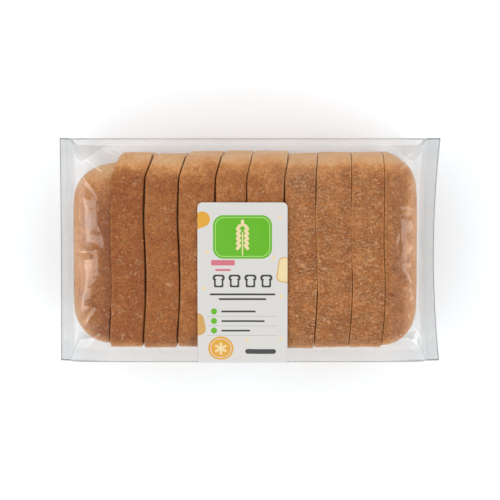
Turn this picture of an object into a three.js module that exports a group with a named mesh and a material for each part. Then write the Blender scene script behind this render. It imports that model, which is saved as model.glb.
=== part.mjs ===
// A sliced white loaf sealed in a clear film pack, lying on its base with its label up.
// Millimetres, +Z up. X runs along the loaf from seal to seal, and the label's foot is on the -Y side.
// The origin is the middle of the pack's footprint, on the surface that it rests on.
// A sealed pack has no way in, so it is one solid out to its film. The film lies on the slices,
// so the cuts between them, and the slices that stand proud, show in its top skin.
import * as THREE from "three";

const { clamp, degToRad, lerp, smoothstep } = THREE.MathUtils;

// The pack
const PACK_LENGTH = 169.5; // from one end seal's cut edge to the other's
const PACK_WIDTH = 99.5; // between the film's two long folds
const PACK_HEIGHT = 63; // from the table to the proudest slice
const BASE_WIDTH = 90; // what the film covers on the table
const BASE_EDGE = 3; // radius at which the film turns from the base up into a side
const BASE_RISE = 0.25; // the base is flat this far up: the pack rests on film gathered at its corners
const CORNER_X = 70; // where that film is lowest
const CORNER_SPREAD = 12; // and how far from there it reaches along the pack
const FOLD_HEIGHT = 54; // where the sides end and the top skin begins
const CROWN_SQUARENESS = 3.2; // exponent of the superellipse that the top skin follows across the pack

// The loaf, as it shows through the top skin
// Where the nine cuts meet the top, and how far each slice's top lies below the proudest one
const CUTS = [-62.2, -47.2, -32.2, -15.9, -1.8, 14.5, 28.7, 44.1, 58.6];
const SLICE_DROP = [1.6, 0.5, 0.2, 0, 0.5, 0.1, 0.4, 0, 0.3, 0.8];
const CUT_TURN = degToRad(1); // the cuts aren't quite square to the pack
const CUT_DIP = 0.9; // how far the film sinks into a cut
const CUT_HALF_WIDTH = 1.3; // from the middle of that dip to its edge
const CROWN_HALF_WIDTH = 36; // the dips are whole this far out, where the slices' shoulders begin
const SEAL_CLEAR = 10; // the cuts' turn fades out within this distance of the pinch

// The end seals: each end of the film tube is pinched flat, a little below the long folds, and crimped
const SEAL_HEIGHT = 50;
const SEAL_THICKNESS = 1;
const SEAL_DEPTH = { left: 4.4, right: 6 }; // from the pinch to the cut edge
const SEAL_DROOP = { left: 2.2, right: 1.2 }; // how far the cut edge hangs below the pinch
const SEAL_BOW = { left: 0.3, right: 2.7 }; // how far the cut edge is drawn in at its middle
const RIB_COUNT = 4; // crimp ribs on a seal, parallel to its edge
const RIB_HEIGHT = 0.25;

// How the film runs from the loaf's ends to the pinch
const RUN_AT_MIDDLE = 12; // length over which the top skin falls, at the middle of an end
const RUN_AT_CORNER = 21; // and at the pack's corners, where the loaf is rounded
const CORNER_SHARPNESS = 4; // power of the share across the pack at which a corner takes over
const RUN_UNDERNEATH = 7; // length over which the base skin rises
const RUN_SQUARENESS = 2.8; // exponent of the superellipse that they follow
const TUCK_DEPTH = 17; // how far the sides are pushed in between the end flaps, at mid height
const TUCK_LENGTH = 26; // from the pinch to where a side is flat again
const TUCK_RISE = 3; // power at which the tuck deepens towards the pinch
const TUCK_CLOSE = 8; // power at which it closes again at the pinch

// The label is stuck across the top, over the front fold and down that side
const LABEL_WIDTH = 39.7;
const LABEL_MIDDLE_X = -3.3;
const LABEL_BACK_Y = 21.9; // its edge on the top skin
const LABEL_FOOT_Z = 17; // its edge on the side
const LABEL_CORNER = 2.2; // radius of its four corners
const LABEL_THICKNESS = 0.4;
const LABEL_GAP = 0.3; // between it and the film

// How finely the skins are divided
const ROW_STEPS = 10; // from the middle of the top skin, and of the base, to their edge
const SIDE_STEPS = 6; // up a side, an even number
const END_STEPS = 9; // along the fall to a pinch
const RIB_STEPS = 2; // for each crimp rib
const LABEL_STEPS = 22; // along the label, on the top skin
const CORNER_STEPS = 4; // round a corner of the label

const HALF_LENGTH = PACK_LENGTH / 2;
const HALF_WIDTH = PACK_WIDTH / 2;
const HALF_BASE = BASE_WIDTH / 2;
const QUARTER_TURN = Math.PI / 2;
const ENDS = { left: -1, right: 1 };

const endOf = (x) => (x < 0 ? "left" : "right");
const pinchOf = (end) => HALF_LENGTH - SEAL_DEPTH[end];

// The quarter of a superellipse from 1 at share 0 down to 0 at share 1.
function superellipse(share, exponent) {
  return Math.pow(1 - Math.pow(clamp(share, 0, 1), exponent), 1 / exponent);
}

// 1 over the loaf, falling to 0 at the pinch within `run` millimetres.
function openness(x, run) {
  const inward = Math.max(pinchOf(endOf(x)) - Math.abs(x), 0);
  return superellipse(1 - inward / run, RUN_SQUARENESS);
}

// How far the top skin lies below the proudest slice at station x: the slice's own drop, and a dip at a cut.
function sliceRelief(x) {
  const nearest = CUTS.findIndex((cut) => Math.abs(x - cut) < CUT_HALF_WIDTH);
  if (nearest < 0) return SLICE_DROP[CUTS.filter((cut) => x > cut).length];
  const offset = (x - CUTS[nearest]) / CUT_HALF_WIDTH;
  const shared = (SLICE_DROP[nearest] + SLICE_DROP[nearest + 1]) / 2 + CUT_DIP;
  const slice = SLICE_DROP[offset < 0 ? nearest : nearest + 1];
  return lerp(shared, slice, smoothstep(Math.abs(offset), 0, 1));
}

// The height of a seal's middle sheet: level to the pinch, then drooping and ribbed out to the cut edge.
function sealHeight(x) {
  const end = endOf(x);
  const past = clamp((Math.abs(x) - pinchOf(end)) / SEAL_DEPTH[end], 0, 1);
  const rib = Math.sin(past * RIB_COUNT * 2 * Math.PI + QUARTER_TURN) - 1;
  return SEAL_HEIGHT - SEAL_DROOP[end] * past * past + (rib * RIB_HEIGHT) / 2;
}

// The crown's height above the fold at `share` of the way from the middle of the pack to the fold.
function crownHeight(share) {
  return (PACK_HEIGHT - FOLD_HEIGHT) * superellipse(share, CROWN_SQUARENESS);
}

function topSkin(x, share) {
  const run = lerp(RUN_AT_MIDDLE, RUN_AT_CORNER, Math.pow(share, CORNER_SHARPNESS));
  const relief = sliceRelief(x) * (1 - smoothstep(share * HALF_WIDTH, CROWN_HALF_WIDTH, HALF_WIDTH));
  const open = FOLD_HEIGHT + crownHeight(share) - relief;
  return lerp(sealHeight(x) + SEAL_THICKNESS / 2, open, openness(x, run));
}

function baseSkin(x, share) {
  const along = clamp(1 - Math.abs(Math.abs(x) - CORNER_X) / CORNER_SPREAD, 0, 1);
  const open = BASE_RISE * (1 - along * Math.pow(share, CORNER_SHARPNESS));
  return lerp(sealHeight(x) - SEAL_THICKNESS / 2, open, openness(x, RUN_UNDERNEATH));
}

// How far a side is pushed in at station x, at `height` from 0 at the base to 1 at the fold.
function tuck(x, height) {
  const share = clamp(1 - (pinchOf(endOf(x)) - Math.abs(x)) / TUCK_LENGTH, 0, 1);
  const along = Math.pow(share, TUCK_RISE) * (1 - Math.pow(share, TUCK_CLOSE));
  return TUCK_DEPTH * along * (1 - Math.abs(2 * height - 1));
}

// The film's section at station x as points [y, z], from the middle of the base to the middle of the top.
function halfSection(x) {
  const shut = 1 - openness(x, RUN_AT_MIDDLE);
  const fold = HALF_WIDTH - (shut * SEAL_THICKNESS) / 2;
  const foot = lerp(HALF_BASE, fold, shut);
  const turn = lerp(BASE_EDGE, SEAL_THICKNESS / 4, shut);
  const low = baseSkin(x, 1);
  const high = topSkin(x, 1);
  const points = [];
  for (let i = 0; i <= ROW_STEPS; i++) {
    const share = i / ROW_STEPS;
    points.push([(foot - turn) * share, baseSkin(x, share)]);
  }
  const halfTurn = QUARTER_TURN / 2;
  points.push([foot - turn * (1 - Math.sin(halfTurn)), low + turn * (1 - Math.cos(halfTurn))]);
  for (let i = 0; i < SIDE_STEPS; i++) {
    const height = i / SIDE_STEPS;
    const round = (shut * SEAL_THICKNESS * Math.sin(Math.PI * height)) / 2;
    points.push([lerp(foot, fold, height) + round - tuck(x, height), lerp(low + turn, high, height)]);
  }
  for (let i = ROW_STEPS; i >= 0; i--) {
    const share = Math.sin((QUARTER_TURN * i) / ROW_STEPS);
    points.push([fold * share, topSkin(x, share)]);
  }
  return points;
}

// Where a point of station x really lies along the pack: the cuts are turned, a seal's edge is drawn in.
function alongPack(x, y) {
  const end = endOf(x);
  const turned = 1 - smoothstep(Math.abs(x), pinchOf(end) - 2 * SEAL_CLEAR, pinchOf(end) - SEAL_CLEAR);
  const reach = smoothstep(Math.abs(x), pinchOf(end) - RUN_UNDERNEATH, HALF_LENGTH);
  const bow = SEAL_BOW[end] * (1 - Math.pow(y / HALF_WIDTH, 2));
  return x + y * Math.tan(CUT_TURN) * turned - ENDS[end] * bow * reach;
}

// A whole ring of the film at station x, anticlockwise seen from +X.
function ringAt(x) {
  const right = halfSection(x);
  const left = right.slice(1, -1).reverse();
  const ring = [...right, ...left.map(([y, z]) => [-y, z])];
  return ring.map(([y, z]) => [alongPack(x, y), y, z]);
}

// Where the rings stand: at the cuts and beside them, down the ends and on the crimp ribs.
function stations() {
  const found = [0];
  for (const [end, sign] of Object.entries(ENDS)) {
    found.push(sign * CORNER_X);
    const pinch = pinchOf(end);
    const ribSteps = RIB_COUNT * RIB_STEPS;
    for (let i = 1; i <= ribSteps; i++) found.push(sign * (pinch + (SEAL_DEPTH[end] * i) / ribSteps));
    for (let i = 0; i <= END_STEPS; i++) {
      const inward = RUN_AT_CORNER * (1 - Math.cos((QUARTER_TURN * i) / END_STEPS));
      found.push(sign * (pinch - inward));
    }
  }
  for (const [i, cut] of CUTS.entries()) {
    found.push(cut - CUT_HALF_WIDTH, cut - CUT_HALF_WIDTH / 2, cut, cut + CUT_HALF_WIDTH / 2);
    found.push(cut + CUT_HALF_WIDTH);
    if (i > 0) found.push((CUTS[i - 1] + cut) / 2);
  }
  const closest = CUT_HALF_WIDTH / 3;
  return found.sort((a, b) => a - b).filter((x, i, all) => i === 0 || x - all[i - 1] > closest);
}

// Joins rings of equal length into one closed skin. Each end is shut by a zip of triangles that starts
// at the point `zipFrom` and takes the two sides of the ring together.
function skinOf(rings, zipFrom) {
  const count = rings[0].length;
  const faces = [];
  const at = (ring, i) => ring * count + ((i + count) % count);
  for (let ring = 0; ring + 1 < rings.length; ring++) {
    for (let i = 0; i < count; i++) {
      faces.push(at(ring, i), at(ring, i + 1), at(ring + 1, i));
      faces.push(at(ring, i + 1), at(ring + 1, i + 1), at(ring + 1, i));
    }
  }
  for (const ring of [0, rings.length - 1]) {
    const face = (...corners) => faces.push(...(ring === 0 ? corners.reverse() : corners));
    for (let i = 0; i < count / 2; i++) {
      const [a, b] = [at(ring, zipFrom + i), at(ring, zipFrom + i + 1)];
      const [c, d] = [at(ring, zipFrom - i - 1), at(ring, zipFrom - i)];
      if (a !== d) face(a, b, d);
      if (b !== c) face(b, c, d);
    }
  }
  const geometry = new THREE.BufferGeometry();
  geometry.setAttribute("position", new THREE.Float32BufferAttribute(rings.flat(2), 3));
  geometry.setIndex(faces);
  geometry.computeVertexNormals();
  return geometry;
}

// The film's outline where the label lies, from the label's back edge over the fold to its foot.
function labelRun() {
  const points = [];
  for (let i = 0; i <= LABEL_STEPS; i++) {
    const y = lerp(LABEL_BACK_Y, -HALF_WIDTH, Math.sin((QUARTER_TURN * i) / LABEL_STEPS));
    points.push(new THREE.Vector3(0, y, FOLD_HEIGHT + crownHeight(Math.abs(y) / HALF_WIDTH)));
  }
  const foot = (LABEL_FOOT_Z - BASE_EDGE) / (FOLD_HEIGHT - BASE_EDGE);
  points.push(new THREE.Vector3(0, -lerp(HALF_BASE, HALF_WIDTH, foot), LABEL_FOOT_Z));
  const run = new THREE.CurvePath();
  for (let i = 1; i < points.length; i++) run.add(new THREE.LineCurve3(points[i - 1], points[i]));
  return run;
}

// The label as a strip along that run, its half width drawn in round the four corners.
function labelSkin() {
  const run = labelRun();
  const total = run.getLength();
  const marks = run.getCurveLengths().slice(0, -1);
  for (let i = 0; i <= CORNER_STEPS; i++) {
    const mark = LABEL_CORNER * (1 - Math.cos((QUARTER_TURN * i) / CORNER_STEPS));
    marks.push(mark, total - mark);
  }
  const rings = marks.sort((a, b) => a - b).map((mark) => {
    const point = run.getPoint(mark / total);
    const behind = run.getPoint(Math.max(mark - LABEL_GAP, 0) / total);
    const ahead = run.getPoint(Math.min(mark + LABEL_GAP, total) / total);
    const along = ahead.sub(behind).normalize();
    const out = new THREE.Vector3(0, along.z, -along.y);
    const fromEdge = Math.min(mark, total - mark, LABEL_CORNER);
    const inset = LABEL_CORNER * (1 - Math.sqrt(1 - Math.pow(1 - fromEdge / LABEL_CORNER, 2)));
    const half = LABEL_WIDTH / 2 - inset;
    const inner = point.clone().addScaledVector(out, LABEL_GAP);
    const outer = point.clone().addScaledVector(out, LABEL_GAP + LABEL_THICKNESS);
    return [
      [LABEL_MIDDLE_X - half, inner.y, inner.z],
      [LABEL_MIDDLE_X + half, inner.y, inner.z],
      [LABEL_MIDDLE_X + half, outer.y, outer.z],
      [LABEL_MIDDLE_X - half, outer.y, outer.z],
    ];
  });
  return skinOf(rings, 0);
}

const rings = stations().map(ringAt);
const middleOfSide = ROW_STEPS + 1 + SIDE_STEPS / 2;
const filmBag = new THREE.Mesh(
  skinOf(rings, middleOfSide),
  new THREE.MeshStandardMaterial({ color: 0xb98055, roughness: 0.3, metalness: 0 }),
);
filmBag.name = "film_bag";

const label = new THREE.Mesh(
  labelSkin(),
  new THREE.MeshStandardMaterial({ color: 0xe6e3dd, roughness: 0.55, metalness: 0 }),
);
label.name = "label";

const pack = new THREE.Group();
pack.add(filmBag, label);
export default pack;
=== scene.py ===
# %% [markdown]
# A small sliced white loaf, sealed in a clear film pack with a pale label across it. The pack lies on its base,
# top crust up, and we look almost straight down on it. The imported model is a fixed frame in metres: one solid
# stands for film, bread and air together. Here that solid gives way to what it stands for: a thin clear skin of
# the same form, ten slices of bread inside it, and a printed label on top.

# %% Load the frame
import math

import bpy
import numpy as np
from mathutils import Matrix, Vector


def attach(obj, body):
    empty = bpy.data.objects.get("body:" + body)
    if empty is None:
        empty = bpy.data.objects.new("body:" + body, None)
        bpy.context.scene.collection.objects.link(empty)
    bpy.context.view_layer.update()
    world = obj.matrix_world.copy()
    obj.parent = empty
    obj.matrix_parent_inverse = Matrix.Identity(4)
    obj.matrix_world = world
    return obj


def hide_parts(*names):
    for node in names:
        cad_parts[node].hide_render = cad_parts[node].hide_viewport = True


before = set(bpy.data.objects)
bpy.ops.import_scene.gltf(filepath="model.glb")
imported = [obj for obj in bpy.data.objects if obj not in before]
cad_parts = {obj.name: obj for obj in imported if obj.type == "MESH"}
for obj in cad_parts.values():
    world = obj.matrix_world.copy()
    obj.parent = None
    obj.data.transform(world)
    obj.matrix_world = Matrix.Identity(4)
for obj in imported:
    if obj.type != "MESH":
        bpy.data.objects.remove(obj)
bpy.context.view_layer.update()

MM = 0.001
print("solids in the frame:", sorted(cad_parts))

# %% [markdown]
# Every new piece is a closed skin swept through rings of points. Blender wants a mesh as flat arrays, so one
# helper turns an array of rings into quads by index arithmetic, and closes the two ends. A film or a label is
# flat at its ends, so its last ring is zipped shut from one side to the other. A slice ends in a flat face, so
# its last ring is closed by a fan round a middle point.

# %% A mesh from rings
def fan_cap(ring, middle):
    """Triangles from each edge of a ring to one middle point."""
    return np.stack([ring, np.roll(ring, -1), np.full_like(ring, middle)], axis=1)


def zip_cap(ring, start):
    """Quads between the two sides of a ring, taken together from the point `start`. The last of them, where the
    sides meet again, and the first are triangles, so a doubled corner is dropped."""
    steps = np.arange(len(ring) // 2)
    corners = [start + steps, start + steps + 1, start - steps - 1, start - steps]
    quads = ring[np.stack(corners, axis=1) % len(ring)]
    return quads[1:-1], quads[[0]][:, [0, 1, 2]], quads[[-1]][:, [0, 1, 3]]


def mesh_from_rings(name, rings, zip_start=None):
    """A closed skin through rings, an array of (ring, point, xyz) in millimetres. The points of a ring run
    anticlockwise seen from the side that the rings advance to."""
    count, around = rings.shape[:2]
    points = rings.reshape(-1, 3)
    index = np.arange(count * around).reshape(count, around)
    after = np.roll(index, -1, axis=1)
    sides = np.stack([index[:-1], after[:-1], after[1:], index[1:]], axis=-1).reshape(-1, 4)
    groups = [sides]
    for last, ring in ((False, index[0]), (True, index[-1])):
        if zip_start is None:
            points = np.vstack([points, rings[-1 if last else 0].mean(axis=0)])
            caps = [fan_cap(ring, len(points) - 1)]
        else:
            caps = zip_cap(ring, zip_start)
        groups += [cap if last else cap[:, ::-1] for cap in caps]
    mesh = bpy.data.meshes.new(name)
    mesh.vertices.add(len(points))
    mesh.vertices.foreach_set("co", (points * MM).astype(np.float32).ravel())
    sizes = np.concatenate([np.full(len(faces), faces.shape[1]) for faces in groups])
    mesh.loops.add(int(sizes.sum()))
    corners = np.concatenate([faces.ravel() for faces in groups])
    mesh.loops.foreach_set("vertex_index", corners.astype(np.int32))
    mesh.polygons.add(len(sizes))
    mesh.polygons.foreach_set("loop_start", (np.cumsum(sizes) - sizes).astype(np.int32))
    mesh.polygons.foreach_set("use_smooth", np.ones(len(sizes), dtype=bool))
    mesh.update(calc_edges=True)
    piece = bpy.data.objects.new(name, mesh)
    bpy.context.collection.objects.link(piece)
    return piece


def store(piece, name, values):
    """Keeps one number a point on the piece, for its material. A fan's middle point repeats the last."""
    short = len(piece.data.vertices) - values.size
    values = np.concatenate([values.ravel(), values.ravel()[-1:].repeat(short)])
    attribute = piece.data.attributes.new(name, "FLOAT", "POINT")
    attribute.data.foreach_set("value", values.astype(np.float32))


# %% [markdown]
# Bread and film are never quite even. Their lumps, wrinkles and creases come from smooth noise: a fixed
# pseudo-random number at every corner of a lattice, blended in between. A hash of the corner's whole-number
# coordinates gives the number, so every run gives the same bread, and whole arrays go through it at once.

# %% Smooth noise for shapes
def smooth(value, low, high):
    """0 below low, 1 above high, and an S-curve between."""
    share = np.clip((value - low) / (high - low), 0, 1)
    return share * share * (3 - 2 * share)


def corner_number(ix, iy, iz, seed):
    """A fixed number from 0 to 1 for each whole-number corner."""
    mixed = (ix * 374761393 + iy * 668265263 + iz * 1440662683 + seed * 1274126177) & 0xFFFFFFFF
    mixed = ((mixed ^ (mixed >> 13)) * 1274126177) & 0xFFFFFFFF
    return ((mixed ^ (mixed >> 16)) & 0xFFFFFF) / 0xFFFFFF


def noise(x, y, z, size, seed):
    """Smooth noise from -1 to 1. `size` is the lattice's pitch in millimetres along each axis."""
    x, y, z = np.broadcast_arrays(x, y, z)
    places = [axis / pitch + 1000 for axis, pitch in zip((x, y, z), size)]
    cells = [np.floor(place).astype(np.int64) for place in places]
    weights = [smooth(place - cell, 0, 1) for place, cell in zip(places, cells)]
    total = np.zeros(x.shape)
    for dx in (0, 1):
        for dy in (0, 1):
            for dz in (0, 1):
                share = np.ones(x.shape)
                for step, weight in zip((dx, dy, dz), weights):
                    share = share * (weight if step else 1 - weight)
                total += share * corner_number(cells[0] + dx, cells[1] + dy, cells[2] + dz, seed)
    return 2 * total - 1


# %% [markdown]
# The pack's driving sizes, in millimetres: the same as the solid's. X runs along the loaf, and the origin is
# the middle of the footprint. The slices aren't quite alike: each has its own drop below the proudest one, and
# its own small shift across the pack. The cuts between them wave a little, as a band knife leaves them.

# %% Sizes of the pack and of the loaf
HALF_LENGTH = 84.75
HALF_WIDTH = 49.75
HALF_BASE = 45.0
PACK_HEIGHT = 63.0
BASE_EDGE = 3.0
BASE_RISE = 0.25
CORNER_X = 70.0
CORNER_SPREAD = 12.0
FOLD_HEIGHT = 54.0
CROWN_SQUARENESS = 3.2
CUTS = np.array([-62.2, -47.2, -32.2, -15.9, -1.8, 14.5, 28.7, 44.1, 58.6])
SLICE_DROP = np.array([1.6, 0.5, 0.2, 0, 0.5, 0.1, 0.4, 0, 0.3, 0.8])
CUT_TURN = math.radians(1)
CUT_WAVE = 1.4  # how far a cut bows towards +X, most at CUT_WAVE_Y
CUT_WAVE_Y = -18.0
CUT_WAVE_SPREAD = 20.0
CUT_FLARE = np.array([3.2, 3.0, 2.6, 2.2, 1.8, 1.4, 0.3, 0.0, -0.4])  # its turn at the far shoulder
FLARE_FROM, FLARE_TO = 31.0, 43.0
CUT_HALF_WIDTH = 7.0  # within this of a cut, the film passes from one slice's height to the next one's
FILM_DIP = 0.05  # how far the film sinks into a cut
FILM_DROP = np.maximum(SLICE_DROP - [1.1, 0, 0, 0, 0, 0, 0, 0, 0, 0.3], 0)  # it runs level on to the heels
CROWN_HALF_WIDTH = 36.0
SEAL_CLEAR = 10.0


def superellipse(share, exponent):
    """The quarter of a superellipse: 1 at share 0, down to 0 at share 1."""
    return (1 - np.clip(share, 0, 1) ** exponent) ** (1 / exponent)


# %% [markdown]
# The film is a tube pinched flat at both ends. Across the pack its top is a superellipse from fold to fold.
# Along the pack, top and base fall to the pinch along quarter superellipses, and the sides are pushed in
# between the end flaps, as on any wrapped pack. It could be a simulated cloth tube. A formula keeps the form of
# the solid that it replaces exactly, and leaves the creases where the real ones are.

# %% The pinch and the seals
SEAL_HEIGHT = 50.0
SEAL_SHEET = 0.35  # the seal's thickness here
SEAL_DEPTH = {-1: 4.4, 1: 6.0}
SEAL_DROOP = {-1: 2.2, 1: 1.2}
SEAL_BOW = {-1: 0.3, 1: 2.7}
RIBS_PER_SEAL = {-1: 7, 1: 9}
RIB_HEIGHT = 0.1
RUN_SQUARENESS = 3.4


def by_end(x, table):
    """The table's value for the end of the pack that each x is nearer to."""
    return np.where(x < 0, table[-1], table[1])


def inward(x):
    """How far each x lies inside the pinch. It is below 0 on a seal."""
    return HALF_LENGTH - by_end(x, SEAL_DEPTH) - np.abs(x)


def openness(x, run):
    """1 over the loaf, falling to 0 at the pinch within `run` millimetres, along a superellipse."""
    return superellipse(1 - np.maximum(inward(x), 0) / run, RUN_SQUARENESS)


def seal_height(x):
    """The middle of a seal: level to the pinch, then drooping with the square of the way out, and ribbed."""
    past = np.clip(-inward(x) / by_end(x, SEAL_DEPTH), 0, 1)
    rib = np.cos(past * by_end(x, RIBS_PER_SEAL) * 2 * math.pi) - 1
    return SEAL_HEIGHT - by_end(x, SEAL_DROOP) * past**2 + rib * RIB_HEIGHT / 2


# %% [markdown]
# The top skin rests on the slices, so it passes on each slice's own drop and sinks a little into each cut. The
# base is flat with its four corners let down. The sides are straight from base to fold, but for the tuck.

# %% The film's top, base and sides
RUN_AT_MIDDLE = 17.0  # how far from the pinch the top reaches its full height
RUN_AT_CORNER = 21.0
RUN_UNDERNEATH = 7.0
CORNER_SHARPNESS = 4
TUCK_DEPTH = 17.0
TUCK_LENGTH = 26.0
TUCK_RISE = 3
TUCK_CLOSE = 8


def cut_dip(x, dip):
    """How far the film lies below the proudest slice: the slice's own drop, and a rounded dip at each cut."""
    nearest = np.abs(x[..., None] - CUTS).argmin(axis=-1)
    offset = (x - CUTS[nearest]) / CUT_HALF_WIDTH
    own = FILM_DROP[nearest + (offset > 0)]
    shared = (FILM_DROP[nearest] + FILM_DROP[nearest + 1]) / 2 + dip
    return shared + (own - shared) * smooth(np.abs(offset), 0, 1)


def crown_height(share):
    """The top skin's height above the fold, `share` of the way from the middle of the pack to the fold."""
    return (PACK_HEIGHT - FOLD_HEIGHT) * superellipse(share, CROWN_SQUARENESS)


def top_skin(x, share, dip=FILM_DIP):
    run = RUN_AT_MIDDLE + (RUN_AT_CORNER - RUN_AT_MIDDLE) * share**CORNER_SHARPNESS
    relief = cut_dip(x, dip) * (1 - smooth(share * HALF_WIDTH, CROWN_HALF_WIDTH, HALF_WIDTH))
    shut = seal_height(x) + SEAL_SHEET / 2
    return shut + (FOLD_HEIGHT + crown_height(share) - relief - shut) * openness(x, run)


def base_skin(x, share):
    along = np.clip(1 - np.abs(np.abs(x) - CORNER_X) / CORNER_SPREAD, 0, 1)
    shut = seal_height(x) - SEAL_SHEET / 2
    return shut + (BASE_RISE * (1 - along * share**CORNER_SHARPNESS) - shut) * openness(x, RUN_UNDERNEATH)


def tuck(x, height):
    """How far a side is pushed in, `height` of the way from the base to the fold."""
    share = np.clip(1 - inward(x) / TUCK_LENGTH, 0, 1)
    return TUCK_DEPTH * share**TUCK_RISE * (1 - share**TUCK_CLOSE) * (1 - np.abs(2 * height - 1))


# %% [markdown]
# So far a station of the film is a straight line across the pack. The real cuts bow and turn, and the film's
# dips have to follow them, so each point is moved along X as the cuts there are. A seal bows too: its middle is
# drawn in.

# %% The film follows the cuts
def cut_lean(x, y):
    """How far a cut at x bows and turns along the pack at y. It fades out towards the end seals."""
    turned = 1 - smooth(-inward(x), -2 * SEAL_CLEAR, -SEAL_CLEAR)
    bow = CUT_WAVE * np.exp(-(((y - CUT_WAVE_Y) / CUT_WAVE_SPREAD) ** 2))
    flare = np.interp(x, CUTS, CUT_FLARE) * smooth(y, FLARE_FROM, FLARE_TO)
    return (y * math.tan(CUT_TURN) + bow + flare) * turned


def along_pack(x, y):
    """Where the film's point of station x lies: leaning with the cuts, and drawn in at a seal's middle."""
    depth = by_end(x, SEAL_DEPTH)
    reach = smooth(np.abs(x) + depth, HALF_LENGTH - RUN_UNDERNEATH, HALF_LENGTH + depth)
    bow = by_end(x, SEAL_BOW) * (1 - (y / HALF_WIDTH) ** 2)
    return x + cut_lean(x, y) - np.sign(x) * bow * reach


# %% [markdown]
# One ring of the film, at station x, is put together from four stretches on each side of the pack: the base,
# the turn into the side, the side, and the top skin. Each stretch is a function of x and of its own share from
# 0 to 1, so all the rings come out of one call, as arrays of stations by points.

# %% The film's rings
BASE_POINTS = 50
EDGE_POINTS = 4
SIDE_POINTS = 28
TOP_POINTS = 50
SIDE_RUN = 12.0  # how far from the pinch the sides are at their full distance
FILM_STATIONS = 215
SEAL_STATIONS = 60


def film_half(x):
    """Points (y, z) of the film on the +Y side, from the middle of the base to the middle of the top."""
    shut = 1 - openness(x, SIDE_RUN)
    fold = HALF_WIDTH - shut * SEAL_SHEET / 2
    foot = HALF_BASE + (fold - HALF_BASE) * shut
    turn = BASE_EDGE + (SEAL_SHEET / 4 - BASE_EDGE) * shut
    low, high = base_skin(x, 1.0), top_skin(x, np.ones_like(x))
    share = np.sin(np.linspace(0, math.pi / 2, BASE_POINTS))
    base = ((foot - turn) * share, base_skin(x, share))
    angle = np.linspace(0, math.pi / 2, EDGE_POINTS + 2)[1:-1]
    edge = (foot - turn * (1 - np.sin(angle)), low + turn * (1 - np.cos(angle)))
    height = np.linspace(0, 1, SIDE_POINTS, endpoint=False)
    round_edge = shut * SEAL_SHEET * np.sin(math.pi * height) / 2
    side_y = foot + (fold - foot) * height + round_edge - tuck(x, height)
    side = (side_y, low + turn + (high - low - turn) * height)
    across = np.sin(np.linspace(math.pi / 2, 0, TOP_POINTS))
    x_top = np.broadcast_to(x, (len(x), TOP_POINTS))
    top = (fold * across, top_skin(x_top, across))
    return (np.hstack([part[i] for part in (base, edge, side, top)]) for i in (0, 1))


def film_rings(x):
    y, z = film_half(x[:, None])
    y = np.hstack([y, -y[:, -2:0:-1]])
    z = np.hstack([z, z[:, -2:0:-1]])
    return np.stack([along_pack(x[:, None], y), y, z], axis=-1)


def film_stations():
    """Evenly spaced over the loaf, closer down the end flaps, and closest on the crimped seals."""
    left, right = -HALF_LENGTH + SEAL_DEPTH[-1], HALF_LENGTH - SEAL_DEPTH[1]
    over = np.linspace(0, math.pi, FILM_STATIONS)
    eased = (over / math.pi + (1 - np.cos(over)) / 2) / 2
    left_seal = np.linspace(-HALF_LENGTH, left, SEAL_STATIONS)
    right_seal = np.linspace(right, HALF_LENGTH, SEAL_STATIONS)
    return np.concatenate([left_seal[:-1], left + (right - left) * eased, right_seal[1:]])


# %% [markdown]
# Thin film never hangs smooth. Taut folds run from each corner of a seal to the rounded corner of the loaf, the
# end flaps are gathered into long soft pleats, and the whole skin has a faint crinkle. They are moves of the
# skin's points: each fold is a ridge with a bell-shaped section along a straight line in plan, and the pleats
# and the crinkle are noise. Each noise is given as its lattice's pitch along X, Y and Z, and its seed.

# %% The film's creases
FOLD_LINES = [  # plan of each taut fold at a corner: seal end, loaf end, half width, height
    ((79.0, 48.5), (62.0, 34.0), 0.9, 0.8),
    ((81.0, 44.0), (66.0, 24.0), 0.8, 0.5),
    ((72.0, 49.0), (52.0, 41.0), 0.9, 0.6),
]
PLEAT_HEIGHT = 0.7
CRINKLE_HEIGHT = 0.07
SIDE_WRINKLE = 0.7  # how far the sides hang in and out, most beside the loaf's ends
SLACK_HEIGHT = 0.12  # broad waves of the film over the heels, where nothing pulls it tight
HEEL_FALL, FACET_FALL = 0.03, 0.13  # slope of the film over the heels, and of the taut facets in it
FACETS = {  # for each end: how far out from the middle a facet begins, at these y, and 77 where there is none
    -1: ([-18.5, -17.0, -3.0, -1.5, 1.5, 3.0, 26.0, 28.0], [77.0, 74.0, 67.5, 77.0, 77.0, 64.0, 74.0, 77.0]),
    1: ([-13.0, -11.5, -6.0, 0.5, 2.0, 12.0, 22.0], [77.0, 71.0, 67.5, 71.5, 75.0, 72.0, 77.0]),
}
FACET_END = 77.0
PLEATS = ((30, 5.5, 40), 11)
CRINKLE, FINE_CRINKLE = ((9, 9, 9), 12), ((3.5, 3.5, 3.5), 13)
SLACK_WAVES = ((13, 11, 30), 14)
HANGING_FOLDS, CROSS_FOLDS = ((8, 30, 34), 15), ((5, 30, 12), 16)  # of the sides, leaning one way and the other


def fold_ridge(x, y, start, end, half_width):
    """1 on the line from start to end, falling off beside it as a bell, and fading towards both ends."""
    dx, dy = end[0] - start[0], end[1] - start[1]
    length = math.hypot(dx, dy)
    along = ((x - start[0]) * dx + (y - start[1]) * dy) / length
    aside = ((x - start[0]) * dy - (y - start[1]) * dx) / length
    bell = np.exp(-((aside / half_width) ** 2))
    return bell * smooth(along, 0, length / 4) * (1 - smooth(along, length / 2, length))


def heel_fall(x, y):
    """How far the film over a heel falls away from the loaf: gently, and more steeply on its facets."""
    fall = HEEL_FALL * np.maximum(np.abs(x) - np.where(x < 0, -CUTS[0], CUTS[-1]), 0)
    for end, (at_y, starts) in FACETS.items():
        reach = np.minimum(end * x, FACET_END) - np.interp(y, at_y, starts)
        fall = fall + (FACET_FALL - HEEL_FALL) * np.maximum(reach, 0)
    return fall


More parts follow.
